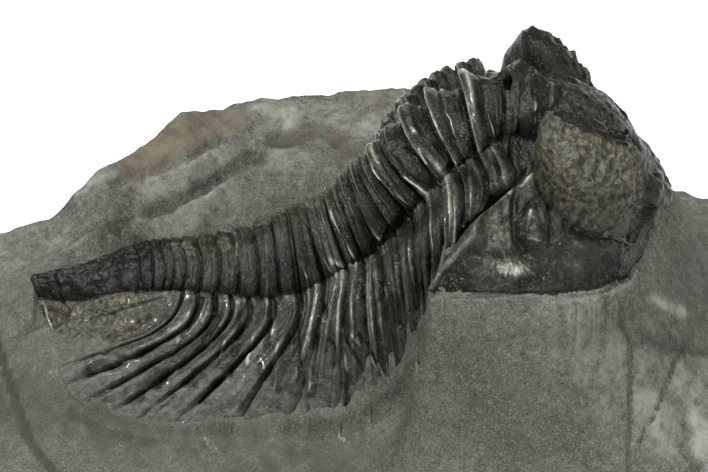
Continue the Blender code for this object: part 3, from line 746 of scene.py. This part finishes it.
def head_surface(share, reach):
    """The smooth head, without its eyes."""
    side = np.sign(reach)
    out = np.abs(reach)
    knots = [line(share) for line in head_lines]
    knots = [knots[1] * (1, -1, 1)] + knots + [2 * knots[-1] - knots[-2]]
    i = np.clip(out.astype(int), 0, 3)
    f = (out - i)[..., None]
    stack = np.stack(knots)
    rows = np.arange(len(out))
    before, start, end, after = (stack[i + k, rows] for k in range(4))
    outer = hermite(start, (end - before) / 2, end, (after - start) / 2, f)
    point = np.where(out[..., None] < 1, arch(knots[1], knots[2], out[..., None]), outer)
    point[..., 1] *= side
    return point


def raise_eye(points, side, rings):
    """Draw the surface inside an eye's plan up into its tower.

    It gives the points, how far up the tower they are, and how far out in its plan.
    """
    rings = np.array(rings)
    x, out, height, length, width = rings[0]
    ahead = (points[:, 0] - x) / length
    beside = (points[:, 1] * side - out) / width
    away = np.hypot(ahead, beside)
    angle = np.arctan2(beside, ahead)
    climb = np.clip((1 - away) / (1 - EYE_RIM), 0, 1) * (len(rings) - 1)
    i = np.clip(climb.astype(int), 0, len(rings) - 2)
    f = (climb - i)[:, None]
    ring = rings[i] * (1 - f) + rings[i + 1] * f
    inside = np.clip(away / EYE_RIM, 0, 1)
    along = ring[:, 3] * np.cos(angle) * inside
    place = np.stack([ring[:, 0] + along, side * (ring[:, 1] + ring[:, 4] * np.sin(angle) * inside),
                      ring[:, 2] + EYE_LEAN * along - EYE_DISH * (1 - inside)], axis=1)
    join = ramp(1.0, 0.86, away)[:, None]
    mine = (points[:, 1] * side > 0) & (away < 1)
    moved = np.where(mine[:, None], points * (1 - join) + place * join, points)
    return moved, np.where(mine, climb / (len(rings) - 1), 0), np.where(mine, away, OUTSIDE_EYE)


shape, share, across, under = flat_band(HEAD_ROWS, HEAD_UNDERSIDE_ROWS, HEAD_COLUMNS)
reach = 4.0 * across
out = np.abs(reach)
base = head_surface(share, reach)
normal = outward(head_surface, share, reach, 1)
smooth, near_climb, near_away = raise_eye(base, -1, EYE_RINGS)
smooth, far_climb, far_away = raise_eye(smooth, 1, FAR_EYE_RINGS)
eye_climb = near_climb + far_climb
eye_away = np.minimum(near_away, far_away)
eye_wall = ramp(0.02, 0.12, eye_climb) * (1 - ramp(0.9, 1.0, eye_climb))
rise, tone = drawn(near_side(smooth), HEAD_MARKS)
clinging = drawn(near_side(smooth), HEAD_GRIT)[1]
relief = 0.07 * mottle(base, 0.5, 7, 3) + 0.10 * mottle(base, 1.6, 23, 3)
relief = relief + eye_wall * (0.26 * mottle(smooth, 0.45, 21, 2) + 0.2 * mottle(smooth, 1.1, 25, 2))
relief = relief - EYE_FOOT_GROOVE * hump(1.02, 0.07, eye_away)
thick = SHELL * (1 - 0.2 * ramp(2.5, 4.0, out))
raised = smooth + normal * (relief + rise)[:, None]
points = np.where(under[:, None], base - normal * thick[:, None], raised)
eye_grit = eye_wall * np.where(points[:, 1] < 0, 1.0, 0.3)
shades = shell_shades(relief, tone, eye_grit + clinging, np.zeros(len(out)))
piece = closed_band("cephalon_shell", shape, points, shades, shell)
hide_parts("cephalon")
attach(piece, "root")


# The limestone: a block broken from its bed and sawn flat below. A preparer carved a smooth pedestal out
# of it round the animal. Its back edge is weathered brown, and its far ground is rough natural rock.
BLOCK_LEFT = -33.0
BLOCK_RIGHT = 34.0
BLOCK_FRONT = -24.0
# For each place from left to right: how far back the block goes, and the ground's height at its back and
# in front.
ROCK = [
    (-33, 9.0, -6.0, -9.5), (-25, 12.5, -5.2, -9.0), (-18, 15.5, -4.2, -9.8), (-9, 24.0, -3.0, -11.2),
    (0, 26.0, -2.2, -11.8), (9, 26.0, -2.6, -11.8), (18, 24.5, -6.5, -11.4), (26, 23.0, -9.8, -10.8),
    (34, 20.0, -10.6, -10.8)]
BACK_SLOPE_START = 3.0
PEDESTAL_SPREAD = 4.2
PEDESTAL_FALL = 1.6
GROUND_FALL = 0.06
BACK_BUMPS = [(1.1, -16, 7), (2.2, -17.8, 2.2), (1.0, -10.8, 1.8)]
WALL_TAPER = 0.94
HEAD_UNDERCUT = 0.15     # the shadow gap that the preparer left under the head's border
ROCK_BELOW_SHELL = 0.5
WALL_ROWS = 10
ROCK_COLUMNS = 340
ROCK_ROWS = 235
FOSSIL_HALF_LENGTH = 24
FOSSIL_HALF_WIDTH = 14
BATCHES = 40             # the distances to the fossil are worked out in batches, to save memory
rock = rail(ROCK)


def ground(x, y):
    """The limestone's own top, without the pedestal."""
    values = rock(x)
    back_edge, back, front = values[..., 0], values[..., 1], values[..., 2]
    climb = ramp(0, 1, (y - BACK_SLOPE_START) / (back_edge - BACK_SLOPE_START))
    fall = GROUND_FALL * np.minimum(y + 8, 0)
    return front + (back - front) * climb + fall


def fossil_edge():
    """Points along the fossil's outer edge. Round the head they lie lower by the shadow gap."""
    stations = np.linspace(3.5, TAIL_END, 140)
    front = head_surface(np.ones(30), np.linspace(0, 4, 30)) - (0, 0, HEAD_UNDERCUT)
    sides = head_lines[-1](np.linspace(1, 0, 60)) - (0, 0, HEAD_UNDERCUT)
    near = np.concatenate([front, sides, tip(stations)])
    return np.concatenate([near, near * (1, -1, 1)])


def neighbours(values, reach, summary):
    """The lowest or the mean value among each grid point's neighbours, leaving out missing ones."""
    grid = values.reshape(ROCK_ROWS + 1, ROCK_COLUMNS + 1)
    for axis in (0, 1):
        moved = [np.roll(grid, step, axis) for step in range(-reach, reach + 1)]
        missing = np.all(np.isnan(moved), axis=0)
        moved[0] = np.where(missing, 0.0, moved[0])
        grid = np.where(missing, np.nan, summary(moved, axis=0))
    return grid.ravel()


# Marks on the rock, as on the body: ledges and hollows behind the animal, darkened with painted shadow,
# the cracks at the pedestal's sides, darkened with painted shade, and pale chips and tool scratches. The
# last five
# are broad: they paint shade over the low left and the front, and light over the left back, the back top
# and the front right. The brown weathering has a list of its own.
ROCK_MARKS = [
    (5.0, -0.80, -0.8, [(150, 212), (178, 200), (200, 188), (215, 178), (235, 165), (262, 158)]),
    (3.0, -0.50, -1.0, [(103, 232), (130, 222)]),
    (2.0, -0.30, -0.7, [(152, 214), (190, 196), (215, 180), (240, 168)]),
    (6.0, -0.60, -1.0, [(272, 140), (300, 138), (318, 130), (335, 140), (352, 152), (365, 152)]),
    (2.5, -0.50, -0.6, [(118, 183), (135, 175), (165, 168), (190, 157), (205, 148), (222, 140)]),
    (3.0, -0.30, -0.8, [(275, 144), (300, 142), (322, 150), (345, 158)]),
    (12.0, 0.00, 0.3, [(690, 380), (700, 440)]),
    (10.0, 0.00, 0.3, [(650, 400), (660, 450)]),
    (7.0, 0.10, 0.3, [(285, 112), (295, 112), (290, 128)]),
    (5.0, 0.00, 0.4, [(248, 108), (270, 103)]),
    (5.0, 0.00, 0.5, [(80, 190), (92, 182)]),
    (6.0, 0.00, 0.35, [(102, 175), (125, 172)]),
    (7.0, 0.00, 0.2, [(170, 165), (200, 158)]),
    (5.0, 0.00, 0.25, [(45, 243), (80, 243)]),
    (3.0, -0.45, -1.6, [(-6, 335), (2, 358), (14, 396), (28, 438), (60, 480)]),
    (1.8, -0.35, -1.2, [(605, 296), (622, 325), (632, 345), (630, 400), (628, 476)]),
    (5.0, 0.00, 0.6, [(655, 300), (682, 312)]),
    (4.0, -0.25, -0.9, [(640, 332), (664, 346), (704, 352)]),
    (1.3, -0.25, -1.2, [(694, 330), (674, 362), (660, 400), (640, 442)]),
    (0.9, 0.04, 1.6, [(204, 438), (213, 452)]),
    (0.9, 0.04, 1.6, [(213, 447), (222, 456)]),
    (0.9, 0.04, 1.4, [(190, 428), (197, 436)]),
    (0.9, 0.04, 1.6, [(335, 424), (336, 434), (347, 442)]),
    (1.5, 0.05, 0.8, [(47, 373), (60, 370)]),
    (1.2, 0.05, 0.7, [(52, 378), (64, 376)]),
    (3.0, 0.00, 0.5, [(0, 368), (25, 360)]),
    (4.0, 0.15, 0.15, [(70, 405), (100, 398)]),
    (50.0, 0.00, -0.6, [(10, 400), (330, 470)]),
    (70.0, 0.00, -0.2, [(400, 450), (500, 420)]),
    (45.0, 0.00, 0.35, [(10, 250), (110, 200)]),
    (55.0, 0.00, 0.45, [(200, 190), (270, 150), (390, 120)]),
    (80.0, 0.00, 0.5, [(590, 340), (640, 400), (720, 420)])]
ROCK_BROWN = [
    (15.0, 0, 1.2, [(135, 170), (165, 150), (200, 132), (228, 126)]),
    (11.0, 0, 1.2, [(145, 152), (188, 122)]),
    (9.0, 0, 0.5, [(200, 118), (250, 108)]),
    (6.0, 0, 0.5, [(340, 98), (405, 98)]),
    (9.0, 0, 0.3, [(150, 232), (200, 228)]),
    (6.0, 0, 0.4, [(160, 205), (200, 186), (240, 160)]),
    (7.0, 0, 1.1, [(275, 138), (320, 128), (355, 150)]),
    (10.0, 0, 0.25, [(640, 300), (700, 330)])]

LIMESTONE_DARK = colour(0.041, 0.042, 0.031)
LIMESTONE_GREY = colour(0.077, 0.078, 0.061)
GRAIN_PALE = colour(0.130, 0.131, 0.106)
GRAIN_DARK = colour(0.018, 0.019, 0.014)
PALE_CHIPS_AND_PAINTED_LIGHT = colour(0.22, 0.217, 0.19)
RUST_DARK = colour(0.058, 0.047, 0.030)
RUST_BROWN = colour(0.110, 0.092, 0.060)
PAINTED_SHADE_AND_DARK_PATCHES = colour(0.022, 0.022, 0.015)
LIMESTONE_BUMP = 0.00018

limestone, shader, place, value, connect = new_finish("limestone")
brown, rough, pale, shaded = value("brown"), value("rough"), value("pale"), value("dark")
patches = place.noise(5.0, 5.0, 0.6)
fine = place.noise(0.5, 4.0, 0.7)
dust = place.noise(0.12, 2.0, 0.6)
clouds = place.noise(1.5, 3.0, 0.6)
grain = dust + fine * 0.6
body = (patches * 0.6 + clouds * 0.4).span(0.36, 0.64).mix(LIMESTONE_DARK, LIMESTONE_GREY)
body = grain.span(0.80, 1.05).mix(body, GRAIN_PALE)
body = grain.span(0.78, 0.58).mix(body, GRAIN_DARK)
# Pale chips and scratches, and painted light.
body = (pale + fine * 0.5 - 0.25).span(0.1, 0.9).mix(body, PALE_CHIPS_AND_PAINTED_LIGHT)
rusty = (clouds * 0.7 + fine * 0.4).span(0.4, 0.7).mix(RUST_DARK, RUST_BROWN)
body = (brown * (0.6 + fine)).span(0.15, 1.0).mix(body, rusty)
# Painted shade in ledges, hollows and cracks, and dark patches on the natural rock.
body = (shaded * (0.6 + fine)).span(0.0, 0.9).mix(body, PAINTED_SHADE_AND_DARK_PATCHES)
connect("Base Color", body)
connect("Roughness", 0.75 + fine * 0.15)
bumps = fine * 0.6 + dust * 0.4 + place.noise(1.4, 3.0, 0.6) * rough
normal = place.add("ShaderNodeBump", {"Height": bumps, "Distance": LIMESTONE_BUMP, "Strength": 0.7})
connect("Normal", normal)

shape = bmesh.new()
bmesh.ops.create_grid(shape, x_segments=ROCK_COLUMNS, y_segments=ROCK_ROWS, size=1)
flat = np.array([v.co for v in shape.verts], float)
sideways, backwards = flat[:, 0], flat[:, 1]
# The grid is finer under the fossil than at the block's edges, whose outline is broken.
spread = 0.72 * sideways + 0.28 * sideways ** 3
x = (BLOCK_LEFT + BLOCK_RIGHT) / 2 + (BLOCK_RIGHT - BLOCK_LEFT) / 2 * spread
back_edge = rock(x)[:, 0]
breaks = mottle(np.stack([x, 0 * x, 0 * x], axis=1), 9.0, 63, 4)
front_edge = BLOCK_FRONT + np.clip(1.3 * breaks, -0.4, 1.4)
y = front_edge + (back_edge - front_edge) * (0.62 * backwards + 0.38 * backwards ** 3 + 1) / 2
breaks = mottle(np.stack([30 * sideways, y, 0 * y], axis=1), 9.0, 65, 4)
x = x + sideways ** 8 * np.clip(1.6 * breaks - 0.5, -1.8, 0.8)
edge = fossil_edge()
level = ground(x, y)
rim = np.zeros(len(x))
distance = np.zeros(len(x))
for part in np.array_split(np.arange(len(x)), BATCHES):
    apart = (edge[:, 0] - x[part, None]) ** 2 + (edge[:, 1] - y[part, None]) ** 2
    weight = 1 / (apart + 0.6) ** 4
    rim[part] = np.sum(edge[:, 2] * weight, axis=1) / np.sum(weight, axis=1)
    distance[part] = np.sqrt(np.min(apart, axis=1))
top = level + (rim - level) * np.exp(-(distance / PEDESTAL_SPREAD) ** PEDESTAL_FALL)
spot = np.stack([x, y, level], axis=1)
natural = np.maximum(ramp(20.5, 22.5, x), 0.8 * ramp(3, 9, y)) * ramp(0.5, 2.5, distance)
top = top + natural * (0.5 * mottle(spot, 6.0, 31, 3) + 0.2 * mottle(spot, 1.2, 37, 3))
top = top + ramp(4, 11, y) * sum(height * hump(middle, half, x) for height, middle, half in BACK_BUMPS)
top = top + 0.05 * mottle(spot, 0.8, 41, 2)

# The fossil's own upper side over each point of the rock, found by rays from above.
bpy.context.view_layer.update()
depsgraph = bpy.context.evaluated_depsgraph_get()
shells = [piece for piece in bpy.data.objects if piece.name.endswith("_shell")]
trees = [BVHTree.FromObject(piece, depsgraph) for piece in shells]
roof = np.full(len(x), np.nan)
head_over = np.zeros(len(x), bool)
down = Vector((0, 0, -1))
for i in np.nonzero((np.abs(y) < FOSSIL_HALF_WIDTH) & (np.abs(x) < FOSSIL_HALF_LENGTH))[0]:
    above = Vector((x[i], y[i], 2 * BASE_DEPTH)) * MM
    hits = [(tree.ray_cast(above, down)[0], piece.name) for tree, piece in zip(trees, shells)]
    heights = [(hit.z / MM - BASE_DEPTH, name) for hit, name in hits if hit is not None]
    if heights:
        roof[i], name = max(heights)
        head_over[i] = name == "cephalon_shell"
between = np.isnan(roof) & (distance > 0.8) & (x > -21) & (x < 19)
roof = np.where(between, neighbours(roof, 5, np.nanmin), roof)
covered = ~np.isnan(roof)

# Near the body's edge the rock fills the gaps between the rib ends and leaves the ribs standing out.
# Further in it stays out of sight, and under the head it stays well below the steep cheeks. On the far
# side of the tail it laps over the shell.
sunk = ramp(0.8, 2.6, distance + 0.5 * mottle(spot, 1.5, 72, 2))
fill_level = neighbours(roof, 4, np.nanmean) - 0.10 + 0.10 * mottle(spot, 1.0, 73, 2)
fill_level = fill_level + 0.12 * hump(0, 0.5, distance)
on_tail = ramp(-5, -8, x)
fill_level = fill_level + on_tail * (0.2 * hump(0, 0.6, distance) - 0.2 * ramp(0.3, 0.9, distance))
close_under = neighbours(roof, 1, np.nanmin) - np.clip(0.35 * distance - 0.10, -0.10, ROCK_BELOW_SHELL)
fill_level = np.where(x < -19.5, close_under, fill_level) + 0.9 * ramp(-14, -18, x) * ramp(2.0, 3.5, y)
hidden = neighbours(roof, 3, np.nanmin) - ROCK_BELOW_SHELL
below = fill_level + (hidden - fill_level) * sunk
well_under = neighbours(roof, 3, np.nanmin) - np.where(distance < 1.0, 0.25, 0.6)
below = np.where(head_over, np.where(x > 8.5, well_under, np.minimum(close_under, roof - 0.1)), below)
lip = 0.10 + 0.12 * on_tail - 0.10 * ramp(4, 6, x)
top = np.where(covered, below, top + lip * hump(0, 0.8, distance))
rise, tone = drawn(np.stack([x, y, top], axis=1), ROCK_MARKS)
top = top + np.where(covered, 0, rise)
weathered = drawn(np.stack([x, y, top], axis=1), ROCK_BROWN)[1]
points = np.stack([x, y, top], axis=1)
# Pale holds chips, scratches and painted light; dark holds painted shade and random dark patches.
shades = {
    "brown": np.clip(weathered * (0.8 + 0.5 * mottle(spot, 1.5, 43, 2)), 0, 1),
    "rough": natural,
    "pale": np.clip(tone + 0.25 * mottle(spot, 2.5, 47, 3) * natural, 0, 1),
    "dark": np.clip(-tone + 0.4 * ramp(0.2, 1.2, mottle(spot, 3.0, 49, 3)) * natural, 0, 1)}
layers = bend(shape, points, shades)

# The broken side walls go down from the top's outline in rows, each with its lumps and stains.
shrink = 1 - (1 - WALL_TAPER) / WALL_ROWS
outline = [edge for edge in shape.edges if edge.is_boundary]
for row in range(WALL_ROWS):
    wall = bmesh.ops.extrude_edge_only(shape, edges=outline)["geom"]
    ring = [item for item in wall if isinstance(item, bmesh.types.BMVert)]
    in_ring = set(ring)
    edges = [item for item in wall if isinstance(item, bmesh.types.BMEdge)]
    outline = [edge for edge in edges if set(edge.verts) <= in_ring]
    left = WALL_ROWS - row
    places = np.array([vertex.co for vertex in ring], float)
    jut = 0.45 * mottle(places / MM, 7.0, 51, 2) + 0.2 * mottle(places / MM, 2.0, 53, 2)
    away = places[:, :2] / np.maximum(np.linalg.norm(places[:, :2], axis=1), 1e-9)[:, None]
    places[:, :2] = places[:, :2] * shrink + away * (jut * (left > 1) * MM)[:, None]
    places[:, 2] *= (left - 1) / left
    stains = ramp(-0.2, 1.0, mottle(places / MM, 5.0, 57, 3))
    for vertex, point, stain in zip(ring, places, stains):
        vertex.co = point
        vertex[layers["brown"]] = 0.6 * stain
        vertex[layers["pale"]] = 0.0
        vertex[layers["dark"]] = 0.3 * (1 - stain)
        vertex[layers["rough"]] = 1.0
bmesh.ops.edgeloop_fill(shape, edges=outline)
block = finished_object("matrix_stone", shape, limestone)
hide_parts("matrix")
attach(block, "root")


# The studio: a plain pale floor, weak white light all round, and three square lamps. A soft one hangs over
# the animal, a small one at the camera's left gives the glints, and a soft one fills in from the right.
FLOOR_SIZE = 4.0
FLOOR_PAINT = colour(0.78, 0.78, 0.78)
FLOOR_ROUGHNESS = 0.9
LIGHT_ALL_ROUND = 0.06
bpy.ops.mesh.primitive_plane_add(size=FLOOR_SIZE)
floor = bpy.context.object
floor.name = "floor"
floor_paint = bpy.data.materials.new("floor_paint")
floor_paint.use_nodes = True
shader = floor_paint.node_tree.nodes["Principled BSDF"]
shader.inputs["Base Color"].default_value = FLOOR_PAINT
shader.inputs["Roughness"].default_value = FLOOR_ROUGHNESS
floor.data.materials.append(floor_paint)

world = bpy.data.worlds.new("soft_white")
bpy.context.scene.world = world
world.use_nodes = True
background = world.node_tree.nodes["Background"]
background.inputs["Color"].default_value = colour(1.0, 1.0, 1.0)
background.inputs["Strength"].default_value = LIGHT_ALL_ROUND


def soft_light(name, place, size, power):
    """A square lamp that faces the animal."""
    lamp = bpy.data.lights.new(name, "AREA")
    lamp.size = size
    lamp.energy = power
    holder = bpy.data.objects.new(name, lamp)
    holder.location = place
    towards = Vector((0, 0, BASE_DEPTH * MM)) - Vector(place)
    holder.rotation_euler = towards.to_track_quat("-Z", "Y").to_euler()
    bpy.context.collection.objects.link(holder)


soft_light("overhead", (0.03, 0.06, 0.50), 0.14, 2.6)
soft_light("left_key", (-0.18, -0.08, 0.36), 0.012, 1.6)
soft_light("front_fill", (0.22, -0.36, 0.20), 0.16, 1.15)
bpy.context.scene.view_settings.view_transform = "Standard"
